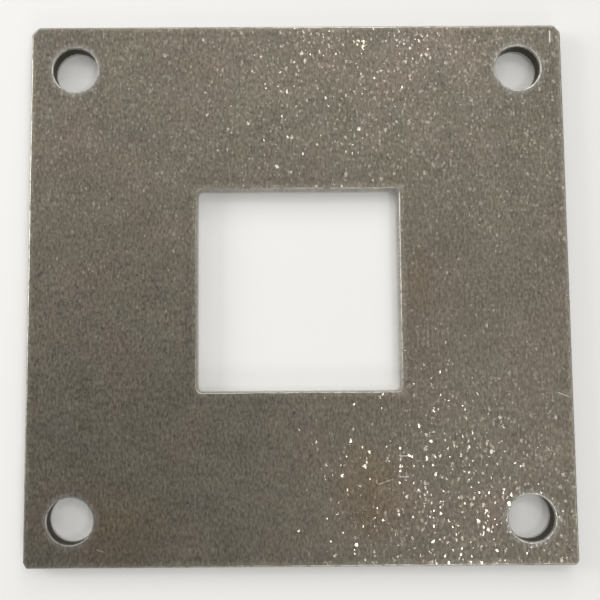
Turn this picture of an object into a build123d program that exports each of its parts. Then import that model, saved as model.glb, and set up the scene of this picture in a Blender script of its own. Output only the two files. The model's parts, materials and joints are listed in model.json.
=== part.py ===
from build123d import *
import os

# Square cover plate, laser cut in one piece from flat galvanised steel sheet.
#
# The plate lies face up. The origin is the centre of its underside, and +Z points out of its face. The sheet's
# rolling direction runs along Y. The front is the side at -Y and the left is the side at -X.
# All sizes are in millimetres.

# Sheet
PLATE_LENGTH_X = 120.0          # left to right
PLATE_LENGTH_Y = 120.0          # front to rear
PLATE_THICKNESS = 4.0

# Opening through the middle
OPENING_LENGTH_X = 45.0
OPENING_LENGTH_Y = 45.0
OPENING_CORNER_RADIUS = 1.0     # the cutting path's own corner radius

# Bolt holes, one near each corner
BOLT_HOLE_DIAMETER = 10.0
BOLT_HOLE_WEB = 5.0             # metal left between a hole and each of the two edges beside it
BOLT_HOLE_CHAMFER = 0.4         # light countersink that clears the burr, on both faces

# Corners, each dressed by hand with a file: a cut is how far it reaches along X and along Y
REAR_LEFT_CUT_X = 1.6
REAR_LEFT_CUT_Y = 1.7
REAR_RIGHT_CUT_X = 1.5
REAR_RIGHT_CUT_Y = 1.6
FRONT_LEFT_CUT_X = 0.7
FRONT_LEFT_CUT_Y = 1.3
FRONT_RIGHT_CUT_X = 0.6
FRONT_RIGHT_CUT_Y = 1.0
REAR_CUT_ROUND = 0.6            # radius that the face's outline keeps at both ends of a rear cut
FRONT_CUT_ROUND = 0.1           # and of a front cut, which is left sharper

# Deburring
EDGE_BREAK_RADIUS = 0.4         # rounding along the outline and the opening, on both faces


def outer_outline():
    """The sheet's outline: a rectangle with a small uneven cut across each corner."""
    x, y = PLATE_LENGTH_X / 2, PLATE_LENGTH_Y / 2
    cut_ends = [
        (-x + FRONT_LEFT_CUT_X, -y),
        (x - FRONT_RIGHT_CUT_X, -y),
        (x, -y + FRONT_RIGHT_CUT_Y),
        (x, y - REAR_RIGHT_CUT_Y),
        (x - REAR_RIGHT_CUT_X, y),
        (-x + REAR_LEFT_CUT_X, y),
        (-x, y - REAR_LEFT_CUT_Y),
        (-x, -y + FRONT_LEFT_CUT_Y),
    ]
    front_round = FRONT_CUT_ROUND + EDGE_BREAK_RADIUS
    rear_round = REAR_CUT_ROUND + EDGE_BREAK_RADIUS
    rounds = [front_round] * 3 + [rear_round] * 4 + [front_round]
    return make_face(FilletPolyline(*cut_ends, radius=rounds, close=True))


def opening():
    """The square opening, with the corner radius of the cutting path."""
    return RectangleRounded(OPENING_LENGTH_X, OPENING_LENGTH_Y, OPENING_CORNER_RADIUS)


def bolt_hole():
    """The metal that one bolt hole takes away, standing on z = 0, with a light countersink at both ends."""
    bore = BOLT_HOLE_DIAMETER / 2
    rim = bore + BOLT_HOLE_CHAMFER
    half_section = Polyline(
        (0, 0),
        (rim, 0),
        (bore, BOLT_HOLE_CHAMFER),
        (bore, PLATE_THICKNESS - BOLT_HOLE_CHAMFER),
        (rim, PLATE_THICKNESS),
        (0, PLATE_THICKNESS),
        close=True,
    )
    return revolve(Plane.XZ * make_face(half_section), Axis.Z)


def bolt_hole_places():
    """A place near each corner, at the same distance from both edges beside it."""
    edge_to_centre = BOLT_HOLE_WEB + BOLT_HOLE_DIAMETER / 2
    pitch_x = PLATE_LENGTH_X - 2 * edge_to_centre
    pitch_y = PLATE_LENGTH_Y - 2 * edge_to_centre
    return GridLocations(pitch_x, pitch_y, 2, 2)


def cover_plate():
    """The flat blank with its edges rounded on both faces, then the bolt holes."""
    blank = extrude(outer_outline() - opening(), PLATE_THICKNESS)
    underside, *_, face = blank.faces().sort_by(Axis.Z)
    plate = fillet(underside.edges() + face.edges(), EDGE_BREAK_RADIUS)
    plate -= bolt_hole_places() * bolt_hole()
    plate.label = "cover_plate"
    return plate


os.makedirs("parts", exist_ok=True)
export_step(cover_plate(), "parts/cover_plate.step")
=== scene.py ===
"""Square cover plate: laser cut from skin-passed galvanised sheet, its edges and corners dressed by hand."""

import json
import math

import bmesh
import bpy
from bpy.props import FloatProperty, FloatVectorProperty, PointerProperty
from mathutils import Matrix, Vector, noise


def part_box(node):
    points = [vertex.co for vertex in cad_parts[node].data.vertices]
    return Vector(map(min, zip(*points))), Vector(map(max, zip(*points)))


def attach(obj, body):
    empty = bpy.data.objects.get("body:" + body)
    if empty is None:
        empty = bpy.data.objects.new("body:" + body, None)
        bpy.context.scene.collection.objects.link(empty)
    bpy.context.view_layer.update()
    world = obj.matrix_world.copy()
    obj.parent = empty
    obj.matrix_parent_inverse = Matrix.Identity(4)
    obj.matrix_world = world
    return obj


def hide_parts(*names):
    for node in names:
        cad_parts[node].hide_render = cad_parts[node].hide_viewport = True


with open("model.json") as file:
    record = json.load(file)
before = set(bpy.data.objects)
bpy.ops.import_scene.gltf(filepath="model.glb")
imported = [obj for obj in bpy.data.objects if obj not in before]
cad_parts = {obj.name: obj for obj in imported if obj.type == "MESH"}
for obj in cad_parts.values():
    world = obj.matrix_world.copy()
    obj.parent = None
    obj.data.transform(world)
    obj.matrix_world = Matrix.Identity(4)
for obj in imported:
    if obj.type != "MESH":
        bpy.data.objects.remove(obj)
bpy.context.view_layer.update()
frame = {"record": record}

bl_info = {
    "name": "Square cover plate",
    "version": (1, 0, 0),
    "blender": (4, 5, 0),
    "location": "3D View > Sidebar > Cover plate",
    "description": "Models a laser-cut galvanised cover plate with a square opening and four bolt holes",
    "category": "Add Mesh",
}

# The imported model's box, and the plate's own place in it
plate_low, plate_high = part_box("cover_plate")
bolt_pattern = next(m for m in frame["record"]["mounts"] if m["kind"] == "bolt_pattern")["dims"]

MM = 0.001
UP = Vector((0, 0, 1))
SAME_PLACE = 0.01 * MM  # two points nearer than this are taken for one


def linear(code):
    """Turn an sRGB hex colour into linear red, green, blue and a full alpha."""
    parts = [int(code[i:i + 2], 16) / 255 for i in (1, 3, 5)]
    return [p / 12.92 if p <= 0.04045 else ((p + 0.055) / 1.055) ** 2.4 for p in parts] + [1.0]


def length(name, description, default):
    """A size that a user may change, given in millimetres."""
    return FloatProperty(name=name, description=description, default=default * MM, min=0.0, unit="LENGTH", precision=5)


def colour(name, description, code):
    """A colour that a user may change, given as sRGB hex."""
    return FloatVectorProperty(
        name=name, description=description, default=linear(code), size=4, min=0.0, max=1.0, subtype="COLOR"
    )


def corner_cut(name, along_x, along_y):
    """How far a dressed corner reaches along X and along Y, given in millimetres."""
    return FloatVectorProperty(
        name=name,
        description="How far this dressed corner reaches along X and along Y",
        default=(along_x * MM, along_y * MM), size=2, min=0.0, unit="LENGTH", precision=5,
    )


# ---------------------------------------------------------------------------------------------------------------------
# What a user may change
# ---------------------------------------------------------------------------------------------------------------------


class CoverPlateSizes(bpy.types.PropertyGroup):
    """The plate's sizes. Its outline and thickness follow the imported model."""

    opening: length("Opening", "Side of the square opening", 45.0)
    opening_corner: length("Opening corner", "Radius that the cutting path leaves in the opening's corners", 1.0)
    hole_pitch: length("Bolt pitch", "Distance between neighbouring bolt holes", bolt_pattern["spacing_x_mm"])
    hole_radius: length("Bolt hole radius", "Radius of each bolt hole", bolt_pattern["hole_r_mm"])
    hole_chamfer: length("Hole chamfer", "Width of the light countersink on each bolt hole", 0.4)
    edge_break: length("Edge break", "Widest rounding along the outline's edges", 0.52)
    opening_break: length("Opening break", "Widest rounding along the square opening's edges", 0.38)
    waviness: length("Waviness", "How much narrower the hand leaves an edge's rounding in places", 0.14)
    rear_left: corner_cut("Rear left corner", 1.6, 1.7)
    rear_right: corner_cut("Rear right corner", 1.5, 1.6)
    front_left: corner_cut("Front left corner", 0.7, 1.3)
    front_right: corner_cut("Front right corner", 0.6, 1.0)
    rear_round: length("Rear corner rounding", "Radius at both ends of a rear corner's cut", 1.0)
    front_round: length("Front corner rounding", "Radius at both ends of a front corner's cut", 0.5)


class CoverPlateFinish(bpy.types.PropertyGroup):
    """The colours of the sheet's skin, its cut walls and its dressed edges."""

    zinc: colour("Zinc", "The skin's general grey-brown", "#716B5F")
    zinc_rosy: colour("Rosy zinc", "Broad patches that have gone a little redder in store", "#746B60")
    zinc_blue: colour("Blue zinc", "Small patches with a faint cold cast", "#6F6A60")
    stain: colour("Stain", "Brown marks left by dried oil", "#70624E")
    fleck: colour("Fleck", "Bright open grains of the zinc", "#E8E4DC")
    speck: colour("Speck", "Small dark pits and dirt", "#4C4741")
    heated: colour("Heated zinc", "Blue-grey ring where the laser warmed the zinc round each bolt hole", "#797A79")
    cut_wall: colour("Cut wall", "Steel bared by the laser", "#B4B1AA")
    # Painted shade: this dark colour of the bolt holes' walls stands in for the shade deep inside the holes
    painted_bore_shade: colour("Bore", "Oxide on the walls of the bolt holes, where the heat stayed longest", "#504C46")
    dressed_edge: colour("Dressed edge", "Zinc and steel brightened by the file", "#A4A198")


class CoverPlateStage(bpy.types.PropertyGroup):
    """The floor, lamps and camera round the plate."""

    floor: colour("Floor", "Pale plain table", "#E4E3E0")
    world: colour("Surroundings", "Soft light from all round", "#FFFFFF")
    world_strength: FloatProperty(
        name="Surroundings strength", description="Level of the light from all round", default=0.36
    )
    lens: FloatProperty(name="Lens", description="Focal length of the camera", default=42.0, unit="CAMERA")


# ---------------------------------------------------------------------------------------------------------------------
# Modelling helpers
# ---------------------------------------------------------------------------------------------------------------------


def activate(piece):
    """Leave one object selected and active."""
    bpy.ops.object.select_all(action="DESELECT")
    piece.select_set(True)
    bpy.context.view_layer.objects.active = piece


def choose(kind, wanted):
    """In edit mode, select only the faces or edges that wanted() accepts."""
    bpy.ops.mesh.select_mode(type=kind)
    bpy.ops.mesh.select_all(action="DESELECT")
    mesh = bmesh.from_edit_mesh(bpy.context.object.data)
    found = [item for item in (mesh.faces if kind == "FACE" else mesh.edges) if wanted(item)]
    if not found:
        raise RuntimeError("the plate has no such " + kind.lower() + " to work on")
    for item in found:
        item.select_set(True)
    bmesh.update_edit_mesh(bpy.context.object.data)


def is_upright(edge):
    """True for an edge that runs through the sheet's thickness."""
    run = (edge.verts[1].co - edge.verts[0].co).normalized()
    return abs(run.z) > 0.99


def is_arris(edge):
    """True where a wall meets one of the sheet's two faces."""
    if len(edge.link_faces) != 2:
        return False
    wall, skin = sorted(abs(face.normal.z) for face in edge.link_faces)
    return wall < 0.1 and skin > 0.9


def middle(edge):
    return (edge.verts[0].co + edge.verts[1].co) / 2


def hole_distance(point, sizes):
    """How far a point is from the axis of the nearest bolt hole."""
    half = sizes.hole_pitch / 2
    return math.hypot(abs(point.x) - half, abs(point.y) - half)


def apply_modifier(kind, **settings):
    """Add a modifier to the active object, set it and apply it."""
    bpy.ops.object.modifier_add(type=kind)
    modifier = bpy.context.object.modifiers[-1]
    for name, value in settings.items():
        setattr(modifier, name, value)
    bpy.ops.object.modifier_apply(modifier=modifier.name)


# ---------------------------------------------------------------------------------------------------------------------
# The plate's shape
# ---------------------------------------------------------------------------------------------------------------------


def cut_blank(sizes):
    """The blank: a slab at its size, its four corners filed across and the cuts' ends rounded."""
    size = plate_high - plate_low
    bpy.ops.mesh.primitive_cube_add(size=1, location=(plate_low + plate_high) / 2, scale=size)
    plate = bpy.context.object
    plate.name = plate.data.name = "laser_cut_plate"
    bpy.ops.object.transform_apply(location=True, rotation=False, scale=True)
    bpy.ops.object.mode_set(mode="EDIT")
    corners = (
        (-1, 1, sizes.rear_left, sizes.rear_round),
        (1, 1, sizes.rear_right, sizes.rear_round),
        (-1, -1, sizes.front_left, sizes.front_round),
        (1, -1, sizes.front_right, sizes.front_round),
    )
    for side, end, (along_x, along_y), round_radius in corners:
        x, y = side * size.x / 2, end * size.y / 2
        first, last = Vector((x - side * along_x, y, 0)), Vector((x, y - end * along_y, 0))
        bpy.ops.mesh.select_all(action="SELECT")
        bpy.ops.mesh.bisect(
            plane_co=first, plane_no=Vector((side * along_y, end * along_x, 0)).normalized(),
            use_fill=True, clear_outer=True,
        )
        for spot in (first, last):
            turn = []

            def ends_here(edge):
                here = is_upright(edge) and (middle(edge).xy - spot.xy).length < SAME_PLACE
                if here:
                    turn.append(edge.calc_face_angle())
                return here

            choose("EDGE", ends_here)
            bpy.ops.mesh.bevel(
                offset=round_radius * math.tan(turn[0] / 2), segments=3, affect="EDGES", clamp_overlap=False
            )
    # Construction lines through every hole's centre, so that no face of the sheet has a hole inside it
    for across in (Vector((1, 0, 0)), Vector((0, 1, 0))):
        for step in (-1, 0, 1):
            bpy.ops.mesh.select_all(action="SELECT")
            bpy.ops.mesh.bisect(plane_co=across * (step * sizes.hole_pitch / 2), plane_no=across)
    bpy.ops.object.mode_set(mode="OBJECT")
    return plate


def cut_away(plate, cutter):
    """Take one cutter's shape out of the plate."""
    activate(plate)
    apply_modifier("BOOLEAN", operation="DIFFERENCE", solver="EXACT", object=cutter)


def cut_openings(plate, sizes):
    """The laser's inner cuts: the square opening and the bolt holes."""
    depth = 3 * (plate_high.z - plate_low.z)  # every cutter goes well past both faces
    centre = (plate_low + plate_high) / 2
    bpy.ops.object.select_all(action="DESELECT")
    bpy.ops.mesh.primitive_cube_add(size=1, location=centre, scale=(sizes.opening, sizes.opening, depth))
    cutter = bpy.context.object
    bpy.ops.object.transform_apply(location=True, rotation=False, scale=True)
    bpy.ops.object.mode_set(mode="EDIT")
    choose("EDGE", is_upright)
    bpy.ops.mesh.bevel(offset=sizes.opening_corner, segments=6, affect="EDGES", clamp_overlap=False)
    bpy.ops.object.mode_set(mode="OBJECT")
    cut_away(plate, cutter)
    bpy.data.objects.remove(cutter)

    bpy.ops.object.select_all(action="DESELECT")
    bpy.ops.mesh.primitive_cylinder_add(vertices=96, radius=sizes.hole_radius, depth=depth, location=centre)
    cutter = bpy.context.object
    for side in (-1, 1):
        for end in (-1, 1):
            cutter.location = centre + Vector((side, end, 0)) * (sizes.hole_pitch / 2)
            bpy.context.view_layer.update()
            cut_away(plate, cutter)
    bpy.data.objects.remove(cutter)


def dress_edges(plate, sizes):
    """Deburring: the long edges are divided, every arris is broken, and the hand's unevenness is put into them."""
    activate(plate)
    bpy.ops.object.mode_set(mode="EDIT")
    pitch = 1.0 * MM
    runs = {}
    for edge in bmesh.from_edit_mesh(plate.data).edges:
        cuts = round(edge.calc_length() / pitch) - 1
        if is_arris(edge) and cuts > 0:
            runs[tuple(round(part, 6) for part in middle(edge).xy)] = cuts
    # One wall at a time, because a face with two of its sides divided at once is cut across
    for spot, cuts in sorted(runs.items()):
        choose("EDGE", lambda edge: is_arris(edge) and (middle(edge).xy - Vector(spot)).length < SAME_PLACE)
        bpy.ops.mesh.subdivide(number_cuts=cuts)
    rim = sizes.hole_radius + 0.5 * MM
    choose("EDGE", lambda edge: is_arris(edge) and hole_distance(middle(edge), sizes) < rim)
    bpy.ops.mesh.bevel(offset=sizes.hole_chamfer, segments=2, profile=0.5, affect="EDGES", clamp_overlap=False)
    choose("EDGE", is_arris)
    mesh = bmesh.from_edit_mesh(plate.data)
    pressure = mesh.edges.layers.float.new("bevel_weight_edge")
    slow, quick, quick_share = 5 * MM, 1.7 * MM, 0.6
    near_opening = 0.55 * sizes.opening
    for edge in mesh.edges:
        if edge.select:
            spot = middle(edge)
            wander = noise.noise(spot / slow) + quick_share * noise.noise(spot / quick)
            share = min(max(0.5 + wander, 0), 1)
            inside = max(abs(spot.x), abs(spot.y)) < near_opening
            full = sizes.opening_break if inside else sizes.edge_break
            edge[pressure] = (full - share * sizes.waviness) / sizes.edge_break
    bmesh.update_edit_mesh(plate.data)
    bpy.ops.object.mode_set(mode="OBJECT")
    apply_modifier(
        "BEVEL", width=sizes.edge_break, segments=4, profile=0.5, limit_method="WEIGHT", use_clamp_overlap=False,
    )


def file_corners(plate):
    """The file's last strokes: small flats on the corners' upper edges, each given by its corner, the way it faces
    in plan, how far in from the outline's own corner it starts, and its slope from upright."""
    strokes = (
        (1, 1, (0.80, 0.60), 1.50, 60),
        (1, 1, (0.60, 0.80), 1.47, 66),
        (-1, -1, (0.84, 0.54), 1.29, 60),
        (1, -1, (0.88, 0.47), 0.88, 58),
    )
    reach = 4 * MM  # half the cutter, so that it clears the corner it files
    for side, end, (across, along), start, slope in strokes:
        out = Vector((side * across, end * along, 0)).normalized()
        corner = Vector((side * plate_high.x, end * plate_high.y, plate_high.z))
        facing = out * math.cos(math.radians(slope)) + UP * math.sin(math.radians(slope))
        bpy.ops.object.select_all(action="DESELECT")
        bpy.ops.mesh.primitive_cube_add(
            size=2 * reach, location=corner - out * (start * MM) + facing * reach,
            rotation=facing.to_track_quat("Z", "Y").to_euler(),
        )
        cutter = bpy.context.object
        cut_away(plate, cutter)
        bpy.data.objects.remove(cutter)


def model_plate(sizes):
    bpy.ops.object.select_all(action="DESELECT")
    plate = cut_blank(sizes)
    cut_openings(plate, sizes)
    dress_edges(plate, sizes)
    file_corners(plate)
    return plate


# ---------------------------------------------------------------------------------------------------------------------
# Materials
# ---------------------------------------------------------------------------------------------------------------------


def add_node(tree, kind, settings=None, links=None):
    """Add a node, set its own values, and link or set its inputs by name or number."""
    node = tree.nodes.new("ShaderNode" + kind)
    for name, value in (settings or {}).items():
        setattr(node, name, value)
    for name, value in (links or {}).items():
        if isinstance(value, bpy.types.NodeSocket):
            tree.links.new(value, node.inputs[name])
        else:
            node.inputs[name].default_value = value
    return node


def new_metal(name):
    """An empty metal: its tree, its surface shader and the place of each point in the plate's own frame."""
    material = bpy.data.materials.new(name)
    material.use_nodes = True
    tree = material.node_tree
    surface = tree.nodes["Principled BSDF"]
    surface.inputs["Metallic"].default_value = 1.0
    place = add_node(tree, "TexCoord").outputs["Object"]
    return material, tree, surface, place


def per(size_x, size_y, size_z=0.0):
    """Pattern scale for features of these sizes in millimetres. A zero leaves that way out of the pattern."""
    return tuple(1 / (size * MM) if size else 0.0 for size in (size_x, size_y, size_z))


def distance_to_hole(tree, place, sizes):
    """How far a point lies, in plan, from the wall of the nearest bolt hole."""
    folded = add_node(tree, "VectorMath", {"operation": "ABSOLUTE"}, {0: place}).outputs[0]
    flat = add_node(tree, "VectorMath", {"operation": "MULTIPLY"}, {0: folded, 1: (1, 1, 0)}).outputs[0]
    axis = (sizes.hole_pitch / 2, sizes.hole_pitch / 2, 0)
    radius = add_node(tree, "VectorMath", {"operation": "DISTANCE"}, {0: flat, 1: axis}).outputs["Value"]
    return add_node(tree, "Math", {"operation": "SUBTRACT"}, {0: radius, 1: sizes.hole_radius}).outputs[0]


def distance_to_cut(tree, place, to_hole, sizes):
    """How far a point lies, in plan, from the nearest laser cut of any kind."""
    folded = add_node(tree, "VectorMath", {"operation": "ABSOLUTE"}, {0: place}).outputs[0]
    split = add_node(tree, "SeparateXYZ", {}, {0: folded})
    out = add_node(tree, "Math", {"operation": "MAXIMUM"}, {0: split.outputs[0], 1: split.outputs[1]}).outputs[0]
    half = (plate_high.x - plate_low.x) / 2
    to_outline = add_node(tree, "Math", {"operation": "SUBTRACT"}, {0: half, 1: out}).outputs[0]
    to_opening = add_node(tree, "Math", {"operation": "SUBTRACT"}, {0: out, 1: sizes.opening / 2}).outputs[0]
    nearest = add_node(tree, "Math", {"operation": "MINIMUM"}, {0: to_outline, 1: to_opening}).outputs[0]
    return add_node(tree, "Math", {"operation": "MINIMUM"}, {0: nearest, 1: to_hole}).outputs[0]


def grains(tree, place, cell, largest, share):
    """Scattered open grains: one in each cell, given in millimetres, some left out, their outlines ragged. Returns
    how much grain a point holds, three numbers that are that grain's own, and a fourth."""
    wander = add_node(tree, "TexNoise", {}, {"Vector": place, "Scale": 1 / (0.6 * MM), "Detail": 1.0}).outputs["Color"]
    wander = add_node(tree, "VectorMath", {"operation": "SUBTRACT"}, {0: wander, 1: (0.5, 0.5, 0.5)}).outputs[0]
    cells = add_node(tree, "VectorMath", {"operation": "MULTIPLY"}, {0: place, 1: per(*cell)}).outputs[0]
    cells = add_node(
        tree, "VectorMath", {"operation": "MULTIPLY_ADD"}, {0: wander, 1: (0.9, 0.7, 0), 2: cells}
    ).outputs[0]
    grain = add_node(tree, "TexVoronoi", {"voronoi_dimensions": "2D"}, {"Vector": cells, "Scale": 1.0})
    chance = add_node(tree, "SeparateXYZ", {}, {0: grain.outputs["Color"]})
    reach = add_node(
        tree, "MapRange", {}, {"Value": chance.outputs[0], "To Min": largest * 0.4, "To Max": largest}
    ).outputs[0]
    core = add_node(tree, "Math", {"operation": "MULTIPLY"}, {0: reach, 1: 0.65}).outputs[0]
    body = add_node(
        tree, "MapRange", {"interpolation_type": "SMOOTHSTEP"},
        {"Value": grain.outputs["Distance"], "From Min": reach, "From Max": core},
    ).outputs[0]
    kept = add_node(tree, "Math", {"operation": "LESS_THAN"}, {0: chance.outputs[1], 1: share}).outputs[0]
    held = add_node(tree, "Math", {"operation": "MULTIPLY"}, {0: body, 1: kept}).outputs[0]
    own = add_node(tree, "TexWhiteNoise", {"noise_dimensions": "3D"}, {"Vector": grain.outputs["Color"]})
    return held, own.outputs["Color"], own.outputs["Value"]


def soft_spot(tree, place, centre, reach):
    """A soft-edged patch on the sheet: 1 in its middle, 0 at its reach, both given in millimetres."""
    away = add_node(
        tree, "VectorMath", {"operation": "SUBTRACT"}, {0: place, 1: [part * MM for part in centre]}
    ).outputs[0]
    away = add_node(tree, "VectorMath", {"operation": "MULTIPLY"}, {0: away, 1: per(*reach)}).outputs[0]
    away = add_node(tree, "VectorMath", {"operation": "LENGTH"}, {0: away}).outputs["Value"]
    return add_node(
        tree, "MapRange", {"interpolation_type": "SMOOTHSTEP"}, {"Value": away, "From Min": 1.0, "From Max": 0.0}
    ).outputs[0]


def scratch(tree, place, start, end, width):
    """A short straight scratch on the upper face: 1 along its line, 0 beside it, all given in millimetres."""
    start = Vector((start[0] * MM, start[1] * MM, plate_high.z))
    run = Vector((end[0] * MM, end[1] * MM, plate_high.z)) - start
    away = add_node(tree, "VectorMath", {"operation": "SUBTRACT"}, {0: place, 1: start}).outputs[0]
    along = add_node(
        tree, "VectorMath", {"operation": "DOT_PRODUCT"}, {0: away, 1: run / run.length_squared}
    ).outputs["Value"]
    along = add_node(tree, "Math", {"operation": "ADD", "use_clamp": True}, {0: along, 1: 0.0}).outputs[0]
    nearest = add_node(tree, "VectorMath", {"operation": "SCALE"}, {0: run, "Scale": along}).outputs[0]
    apart = add_node(tree, "VectorMath", {"operation": "DISTANCE"}, {0: away, 1: nearest}).outputs["Value"]
    return add_node(
        tree, "MapRange", {"interpolation_type": "SMOOTHSTEP"},
        {"Value": apart, "From Min": width * MM, "From Max": width * 0.2 * MM},
    ).outputs[0]


def galvanised_skin(finish, sizes):
    """Hot-dip galvanised sheet after the skin-pass rolls: a matt grey-brown ground, streaked along the rolling
    direction, with small open grains of zinc that lean every way and flash where one faces a lamp."""
    material, tree, surface, place = new_metal("galvanised_skin_passed")

    # Slow changes of colour: rosy patches 10 to 20 mm across, a few cold ones, and the stains of dried oil
    rosy = add_node(
        tree, "TexNoise", {}, {"Vector": place, "Scale": 1 / (19 * MM), "Detail": 2.0, "Roughness": 0.55}
    ).outputs[0]
    rosy = add_node(
        tree, "MapRange", {"interpolation_type": "SMOOTHSTEP"}, {"Value": rosy, "From Min": 0.45, "From Max": 0.68}
    ).outputs[0]
    moved = add_node(tree, "VectorMath", {"operation": "ADD"}, {0: place, 1: (0.31, 0.17, 0.0)}).outputs[0]
    blue = add_node(
        tree, "TexNoise", {}, {"Vector": moved, "Scale": 1 / (11 * MM), "Detail": 2.0, "Roughness": 0.6}
    ).outputs[0]
    blue = add_node(
        tree, "MapRange", {"interpolation_type": "SMOOTHSTEP"}, {"Value": blue, "From Min": 0.52, "From Max": 0.75}
    ).outputs[0]
    ground = add_node(tree, "Mix", {"data_type": "RGBA"}, {0: rosy, 6: finish.zinc, 7: finish.zinc_rosy}).outputs[2]
    ground = add_node(tree, "Mix", {"data_type": "RGBA"}, {0: blue, 6: ground, 7: finish.zinc_blue}).outputs[2]
    drift = add_node(tree, "VectorMath", {"operation": "SUBTRACT"}, {
        0: add_node(tree, "TexNoise", {}, {"Vector": place, "Scale": 1 / (5 * MM), "Detail": 2.0}).outputs["Color"],
        1: (0.5, 0.5, 0.5),
    }).outputs[0]
    spread = add_node(
        tree, "VectorMath", {"operation": "MULTIPLY_ADD"}, {0: drift, 1: [9 * MM] * 3, 2: place}
    ).outputs[0]
    stains = (
        ((15, -44, 4), (12, 16, 30), 0.6),
        ((-42, -52, 4), (20, 12, 30), 0.5),
        ((26.5, 3, 4), (4, 12, 30), 0.4),
    )
    for centre, reach, strength in stains:
        spot = soft_spot(tree, spread, centre, reach)
        spot = add_node(tree, "Math", {"operation": "MULTIPLY"}, {0: spot, 1: strength}).outputs[0]
        ground = add_node(tree, "Mix", {"data_type": "RGBA"}, {0: spot, 6: ground, 7: finish.stain}).outputs[2]

    # The zinc round the bolt holes went blue-grey in the laser's heat
    to_hole = distance_to_hole(tree, place, sizes)
    to_cut = distance_to_cut(tree, place, to_hole, sizes)
    ring = add_node(
        tree, "MapRange", {"interpolation_type": "SMOOTHSTEP"},
        {"Value": to_hole, "From Min": 1.9 * MM, "From Max": 0.5 * MM, "To Max": 0.35},
    ).outputs[0]
    ground = add_node(tree, "Mix", {"data_type": "RGBA"}, {0: ring, 6: ground, 7: finish.heated}).outputs[2]

    # Rolling streaks along Y, 0.4 mm wide, a grit under 1 mm, and clouds 7 mm across
    stretched = add_node(tree, "VectorMath", {"operation": "MULTIPLY"}, {0: place, 1: per(0.38, 2.2)}).outputs[0]
    streaks = add_node(
        tree, "TexNoise", {"noise_dimensions": "2D"}, {"Vector": stretched, "Scale": 1.0, "Detail": 2.0}
    ).outputs[0]
    gritty = add_node(tree, "VectorMath", {"operation": "MULTIPLY"}, {0: place, 1: per(0.55, 0.9)}).outputs[0]
    grit = add_node(
        tree, "TexNoise", {"noise_dimensions": "2D"}, {"Vector": gritty, "Scale": 1.0, "Detail": 2.0}
    ).outputs[0]
    clouds = add_node(
        tree, "TexNoise", {}, {"Vector": place, "Scale": 1 / (7 * MM), "Detail": 3.0, "Roughness": 0.6}
    ).outputs[0]
    tone = add_node(
        tree, "MapRange", {}, {"Value": streaks, "From Min": 0.3, "From Max": 0.7, "To Min": 0.87, "To Max": 1.13}
    ).outputs[0]
    for pattern, least, most in ((grit, 0.77, 1.23), (clouds, 0.90, 1.10)):
        share = add_node(
            tree, "MapRange", {}, {"Value": pattern, "From Min": 0.3, "From Max": 0.7, "To Min": least, "To Max": most}
        ).outputs[0]
        tone = add_node(tree, "Math", {"operation": "MULTIPLY"}, {0: tone, 1: share}).outputs[0]

    # Painted highlight: the sheet is made lighter 0.6 to 1.5 mm in from every cut, standing in for the light caught
    # beside the broken edges; a thin line of dirt lies beyond it
    painted_edge_highlight = add_node(
        tree, "MapRange", {"interpolation_type": "SMOOTHSTEP"},
        {"Value": to_cut, "From Min": 1.5 * MM, "From Max": 0.6 * MM, "To Min": 1.0, "To Max": 1.22},
    ).outputs[0]
    dirt = add_node(tree, "Math", {"operation": "SUBTRACT"}, {0: to_cut, 1: 2.1 * MM}).outputs[0]
    dirt = add_node(tree, "Math", {"operation": "ABSOLUTE"}, {0: dirt}).outputs[0]
    dirt = add_node(
        tree, "MapRange", {"interpolation_type": "SMOOTHSTEP"},
        {"Value": dirt, "From Max": 1.3 * MM, "To Min": 0.95, "To Max": 1.0},
    ).outputs[0]
    for share in (painted_edge_highlight, dirt):
        tone = add_node(tree, "Math", {"operation": "MULTIPLY"}, {0: tone, 1: share}).outputs[0]
    ground = add_node(tree, "VectorMath", {"operation": "SCALE"}, {0: ground, "Scale": tone}).outputs[0]

    # Dark specks: pits and dirt, up to 0.7 mm across
    pits = grains(tree, place, cell=(3.4, 4.2), largest=0.10, share=0.5)[0]
    pits = add_node(tree, "Math", {"operation": "MULTIPLY"}, {0: pits, 1: 0.7}).outputs[0]
    ground = add_node(tree, "Mix", {"data_type": "RGBA"}, {0: pits, 6: ground, 7: finish.speck}).outputs[2]

    # Open grains: a few large ones among many small, some clean and bright, some as dull as the ground
    large, large_own, large_clean = grains(tree, place, cell=(1.1, 1.7), largest=0.38, share=0.55)
    small, small_own, small_clean = grains(tree, place, cell=(0.66, 1.0), largest=0.42, share=0.8)
    grain = add_node(tree, "Math", {"operation": "MAXIMUM"}, {0: large, 1: small}).outputs[0]
    own = add_node(tree, "Mix", {"data_type": "VECTOR"}, {0: large, 4: small_own, 5: large_own}).outputs[1]
    clean = add_node(tree, "Mix", {"data_type": "FLOAT"}, {0: large, 2: small_clean, 3: large_clean}).outputs[0]
    clean = add_node(tree, "MapRange", {}, {"Value": clean, "From Min": 0.35, "From Max": 0.9}).outputs[0]
    polish = add_node(tree, "Math", {"operation": "MULTIPLY"}, {0: grain, 1: clean}).outputs[0]
    # The clean grains' lighter colour is partly their own and partly a painted glint; their real flash comes from
    # their lean and smoothness below
    bright = add_node(tree, "Math", {"operation": "MULTIPLY"}, {0: polish, 1: 0.10}).outputs[0]
    ground = add_node(tree, "Mix", {"data_type": "RGBA"}, {0: bright, 6: ground, 7: finish.fleck}).outputs[2]

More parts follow.
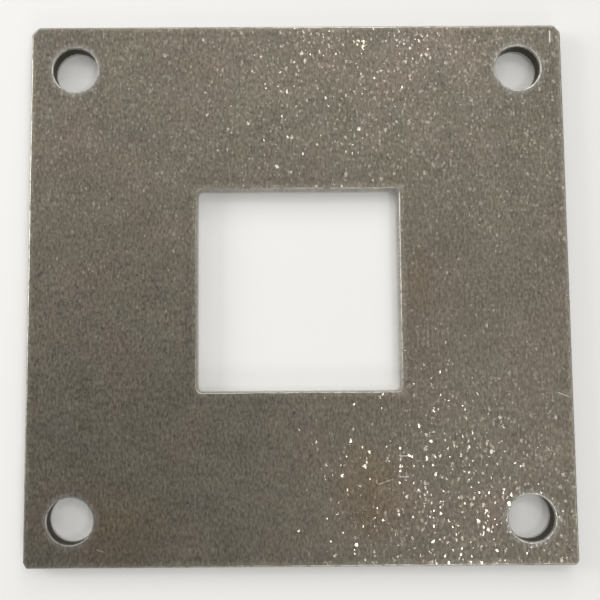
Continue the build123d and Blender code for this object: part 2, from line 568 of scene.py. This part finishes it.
    # Scratches on the upper face, where something was slid across it: where each starts and ends, and its width
    scratches = (
        ((21.5, -36.5), (23.5, -36.5), 0.12),  # two nicks in front of the opening, in line with its right side
        ((21.5, -41.0), (23.5, -41.0), 0.15),
        ((17.0, -42.5), (20.0, -41.5), 0.12),  # a longer slip beside them
        ((57.5, 58.5), (57.5, 56.0), 0.25),  # a gouge in the rear right corner
        ((-44.0, -56.0), (-42.5, -56.5), 0.15),  # beside the front left bolt hole
        ((56.5, -23.0), (59.0, -24.0), 0.12),  # at the right edge
    )
    marks = 0.0
    for start, end, width in scratches:
        mark = scratch(tree, place, start, end, width)
        marks = add_node(tree, "Math", {"operation": "MAXIMUM"}, {0: marks, 1: mark}).outputs[0]
    shown = add_node(tree, "Math", {"operation": "MULTIPLY"}, {0: marks, 1: 0.5}).outputs[0]
    ground = add_node(tree, "Mix", {"data_type": "RGBA"}, {0: shown, 6: ground, 7: finish.fleck}).outputs[2]
    tree.links.new(ground, surface.inputs["Base Color"])

    # Each grain leans its own way, most only a little and a few by up to twelve degrees, and is smoother than the
    # ground
    lean = add_node(tree, "VectorMath", {"operation": "SUBTRACT"}, {0: own, 1: (0.5, 0.5, 0.5)}).outputs[0]
    lean = add_node(tree, "VectorMath", {"operation": "MULTIPLY"}, {0: lean, 1: (1, 1, 0)}).outputs[0]
    how_far = add_node(tree, "SeparateXYZ", {}, {0: own}).outputs[2]
    steep = add_node(tree, "Math", {"operation": "MULTIPLY"}, {0: how_far, 1: grain}).outputs[0]
    steep = add_node(tree, "Math", {"operation": "MULTIPLY"}, {0: steep, 1: 0.30}).outputs[0]
    lean = add_node(tree, "VectorMath", {"operation": "SCALE"}, {0: lean, "Scale": steep}).outputs[0]
    facing = add_node(tree, "NewGeometry").outputs["Normal"]
    facing = add_node(tree, "VectorMath", {"operation": "ADD"}, {0: facing, 1: lean}).outputs[0]
    facing = add_node(tree, "VectorMath", {"operation": "NORMALIZE"}, {0: facing}).outputs[0]
    rolled = add_node(
        tree, "Bump", {}, {"Strength": 0.5, "Distance": 0.01 * MM, "Height": streaks, "Normal": facing}
    ).outputs[0]
    tree.links.new(rolled, surface.inputs["Normal"])
    smooth = add_node(tree, "Math", {"operation": "MAXIMUM"}, {0: polish, 1: shown}).outputs[0]
    rough = add_node(tree, "MapRange", {}, {"Value": smooth, "To Min": 0.52, "To Max": 0.18}).outputs[0]
    tree.links.new(rough, surface.inputs["Roughness"])
    return material


def laser_cut(finish, sizes):
    """Bare steel as the laser leaves it: fine upright striations, a bright clean line where the jet came out, and a
    dark colour in the bolt holes that is painted shade, standing in for the shade deep inside them."""
    material, tree, surface, place = new_metal("laser_cut_steel")
    upright = add_node(tree, "VectorMath", {"operation": "MULTIPLY"}, {0: place, 1: per(0.32, 0.32, 6.0)}).outputs[0]
    lines = add_node(
        tree, "TexNoise", {}, {"Vector": upright, "Scale": 1.0, "Detail": 3.0, "Roughness": 0.6}
    ).outputs[0]
    patchy = add_node(tree, "TexNoise", {}, {"Vector": place, "Scale": 1 / (4 * MM), "Detail": 2.0}).outputs[0]
    height = add_node(tree, "SeparateXYZ", {}, {0: place}).outputs[2]
    wavering = add_node(tree, "Math", {"operation": "MULTIPLY_ADD"}, {0: lines, 1: -0.8 * MM, 2: height}).outputs[0]
    leaving = add_node(
        tree, "MapRange", {"interpolation_type": "SMOOTHSTEP"},
        {"Value": wavering, "From Min": plate_low.z + 0.9 * MM, "From Max": plate_low.z + 0.4 * MM},
    ).outputs[0]
    tone = add_node(
        tree, "MapRange", {}, {"Value": lines, "From Min": 0.3, "From Max": 0.7, "To Min": 0.78, "To Max": 1.18}
    ).outputs[0]
    patch = add_node(
        tree, "MapRange", {}, {"Value": patchy, "From Min": 0.3, "From Max": 0.7, "To Min": 0.88, "To Max": 1.1}
    ).outputs[0]
    tone = add_node(tree, "Math", {"operation": "MULTIPLY"}, {0: tone, 1: patch}).outputs[0]
    to_hole = distance_to_hole(tree, place, sizes)
    # Painted shade: the bolt holes' walls take a dark colour that stands in for the shade deep inside them
    in_bore = add_node(tree, "Math", {"operation": "LESS_THAN"}, {0: to_hole, 1: 0.3 * MM}).outputs[0]
    wall = add_node(tree, "Mix", {"data_type": "RGBA"}, {0: in_bore, 6: finish.cut_wall, 7: finish.painted_bore_shade}).outputs[2]
    wall = add_node(tree, "VectorMath", {"operation": "SCALE"}, {0: wall, "Scale": tone}).outputs[0]
    leaving = add_node(tree, "Math", {"operation": "MULTIPLY"}, {0: leaving, 1: 0.7}).outputs[0]
    wall = add_node(tree, "Mix", {"data_type": "RGBA"}, {0: leaving, 6: wall, 7: finish.fleck}).outputs[2]
    tree.links.new(wall, surface.inputs["Base Color"])
    rough = add_node(
        tree, "MapRange", {}, {"Value": patchy, "From Min": 0.3, "From Max": 0.7, "To Min": 0.48, "To Max": 0.66}
    ).outputs[0]
    tree.links.new(rough, surface.inputs["Roughness"])
    scored = add_node(tree, "Bump", {}, {"Strength": 0.8, "Distance": 0.03 * MM, "Height": lines}).outputs[0]
    tree.links.new(scored, surface.inputs["Normal"])
    return material


def dressed(finish):
    """Edges broken with a fine file: bright metal, crossed by short file marks, with duller zinc left in the lows."""
    material, tree, surface, place = new_metal("filed_edge")
    coarse = add_node(
        tree, "TexNoise", {}, {"Vector": place, "Scale": 1 / (1.4 * MM), "Detail": 3.0, "Roughness": 0.65}
    ).outputs[0]
    marks = add_node(tree, "TexNoise", {}, {"Vector": place, "Scale": 1 / (0.3 * MM), "Detail": 2.0}).outputs[0]
    dull = add_node(
        tree, "MapRange", {"interpolation_type": "SMOOTHSTEP"},
        {"Value": coarse, "From Min": 0.50, "From Max": 0.66, "To Max": 0.6},
    ).outputs[0]
    edge = add_node(tree, "Mix", {"data_type": "RGBA"}, {0: dull, 6: finish.dressed_edge, 7: finish.zinc}).outputs[2]
    tone = add_node(
        tree, "MapRange", {}, {"Value": marks, "From Min": 0.3, "From Max": 0.7, "To Min": 0.85, "To Max": 1.15}
    ).outputs[0]
    edge = add_node(tree, "VectorMath", {"operation": "SCALE"}, {0: edge, "Scale": tone}).outputs[0]
    tree.links.new(edge, surface.inputs["Base Color"])
    rough = add_node(
        tree, "MapRange", {}, {"Value": coarse, "From Min": 0.35, "From Max": 0.65, "To Min": 0.26, "To Max": 0.44}
    ).outputs[0]
    tree.links.new(rough, surface.inputs["Roughness"])
    scored = add_node(tree, "Bump", {}, {"Strength": 0.6, "Distance": 0.02 * MM, "Height": marks}).outputs[0]
    tree.links.new(scored, surface.inputs["Normal"])
    return material


def finish_surfaces(plate, finish, sizes):
    """Give the sheet's faces, its cut walls and its dressed edges their own finish."""
    activate(plate)
    for material in (galvanised_skin(finish, sizes), laser_cut(finish, sizes), dressed(finish)):
        plate.data.materials.append(material)
    bpy.ops.object.mode_set(mode="EDIT")
    # How far a face looks up or down: more than the first is the skin, less than the second a cut wall
    skin, wall = 0.995, 0.05
    for slot, wanted in enumerate((
        lambda face: abs(face.normal.z) > skin,
        lambda face: abs(face.normal.z) < wall,
        lambda face: wall <= abs(face.normal.z) <= skin,
    )):
        choose("FACE", wanted)
        bpy.context.object.active_material_index = slot
        bpy.ops.object.material_slot_assign()
    bpy.ops.object.mode_set(mode="OBJECT")
    bpy.ops.object.shade_smooth_by_angle(angle=math.radians(35))
    apply_modifier("WEIGHTED_NORMAL", mode="FACE_AREA", weight=50, keep_sharp=True)


# ---------------------------------------------------------------------------------------------------------------------
# Operators
# ---------------------------------------------------------------------------------------------------------------------


class COVERPLATE_OT_plate(bpy.types.Operator):
    """Model the cover plate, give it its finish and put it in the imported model's place"""

    bl_idname = "cover_plate.model_plate"
    bl_label = "Model the cover plate"
    bl_options = {"REGISTER", "UNDO"}

    def execute(self, context):
        sizes = context.scene.cover_plate_sizes
        plate = model_plate(sizes)
        finish_surfaces(plate, context.scene.cover_plate_finish, sizes)
        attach(plate, "root")
        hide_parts("cover_plate")
        return {"FINISHED"}


class COVERPLATE_OT_stage(bpy.types.Operator):
    """Set the floor, the lamps and the camera"""

    bl_idname = "cover_plate.set_stage"
    bl_label = "Set the stage"
    bl_options = {"REGISTER", "UNDO"}

    def execute(self, context):
        stage = context.scene.cover_plate_stage
        bpy.ops.object.select_all(action="DESELECT")
        gap = 0.02 * MM  # the floor lies just clear of the plate's underside
        bpy.ops.mesh.primitive_plane_add(size=4.0, location=(0, 0, plate_low.z - gap))
        floor = context.object
        floor.name = "floor"
        material = bpy.data.materials.new("pale_matt_table")
        material.use_nodes = True
        surface = material.node_tree.nodes["Principled BSDF"]
        surface.inputs["Base Color"].default_value = stage.floor
        surface.inputs["Roughness"].default_value = 0.8
        floor.data.materials.append(material)

        world = bpy.data.worlds.new("soft_surroundings")
        world.use_nodes = True
        background = world.node_tree.nodes["Background"]
        background.inputs["Color"].default_value = stage.world
        background.inputs["Strength"].default_value = stage.world_strength
        context.scene.world = world

        # Each lamp: its name, the way from the plate to it, its distance, its width and height, and its radiance
        lamps = (
            ("rear_glow", (0.0, 0.62, 0.78), 0.80, 1.40, 0.80, 0.93),
            ("right_glow", (0.60, -0.10, 0.80), 0.80, 1.10, 0.45, 0.50),
            ("rear_window", (0.12, 0.85, 0.50), 0.60, 0.18, 0.20, 3.9),
            ("left_window", (-0.87, 0.20, 0.41), 0.60, 0.32, 0.24, 6.4),
            ("front_window", (0.17, -0.80, 0.55), 0.60, 0.18, 0.16, 5.2),
            ("rear_lamp", (0.20, 0.50, 0.84), 0.70, 0.13, 0.07, 9.5),
            ("front_lamp", (0.365, -0.285, 0.885), 0.70, 0.085, 0.085, 22.0),
        )
        for name, way, distance, width, height, radiance in lamps:
            way = Vector(way).normalized()
            bpy.ops.object.light_add(
                type="AREA", location=way * distance, rotation=way.to_track_quat("Z", "Y").to_euler()
            )
            lamp = context.object
            lamp.name = name
            lamp.data.shape, lamp.data.size, lamp.data.size_y = "RECTANGLE", width, height
            lamp.data.energy = radiance * math.pi * width * height

        # The camera hangs over the plate, a little to its front left, and looks down almost squarely
        eye = [part * MM for part in (-6.84, -13.27, 154.16)]
        turn = [math.radians(part) for part in (4.06, -0.14, -0.38)]
        bpy.ops.object.camera_add(location=(eye[0], eye[1], plate_high.z + eye[2]), rotation=turn)
        camera = context.object
        camera.data.sensor_width, camera.data.lens, camera.data.shift_x = 36.0, stage.lens, 0.05
        camera.data.clip_start, camera.data.clip_end = 0.01, 10.0
        context.scene.camera = camera
        context.scene.view_settings.view_transform = "Standard"
        return {"FINISHED"}


class COVERPLATE_PT_panel(bpy.types.Panel):
    """Sizes, colours and steps of the cover plate"""

    bl_label = "Cover plate"
    bl_space_type = "VIEW_3D"
    bl_region_type = "UI"
    bl_category = "Cover plate"

    def draw(self, context):
        scene = context.scene
        for group in (scene.cover_plate_sizes, scene.cover_plate_finish, scene.cover_plate_stage):
            box = self.layout.box()
            for name in group.__annotations__:
                box.prop(group, name)
        for operator in (COVERPLATE_OT_plate, COVERPLATE_OT_stage):
            self.layout.operator(operator.bl_idname)


CLASSES = (
    CoverPlateSizes, CoverPlateFinish, CoverPlateStage, COVERPLATE_OT_plate, COVERPLATE_OT_stage, COVERPLATE_PT_panel,
)


def register():
    for item in CLASSES:
        bpy.utils.register_class(item)
    bpy.types.Scene.cover_plate_sizes = PointerProperty(type=CoverPlateSizes)
    bpy.types.Scene.cover_plate_finish = PointerProperty(type=CoverPlateFinish)
    bpy.types.Scene.cover_plate_stage = PointerProperty(type=CoverPlateStage)


def unregister():
    del bpy.types.Scene.cover_plate_stage
    del bpy.types.Scene.cover_plate_finish
    del bpy.types.Scene.cover_plate_sizes
    for item in reversed(CLASSES):
        bpy.utils.unregister_class(item)


def main():
    register()
    bpy.ops.cover_plate.model_plate()
    bpy.ops.cover_plate.set_stage()


if __name__ == "__main__":
    main()
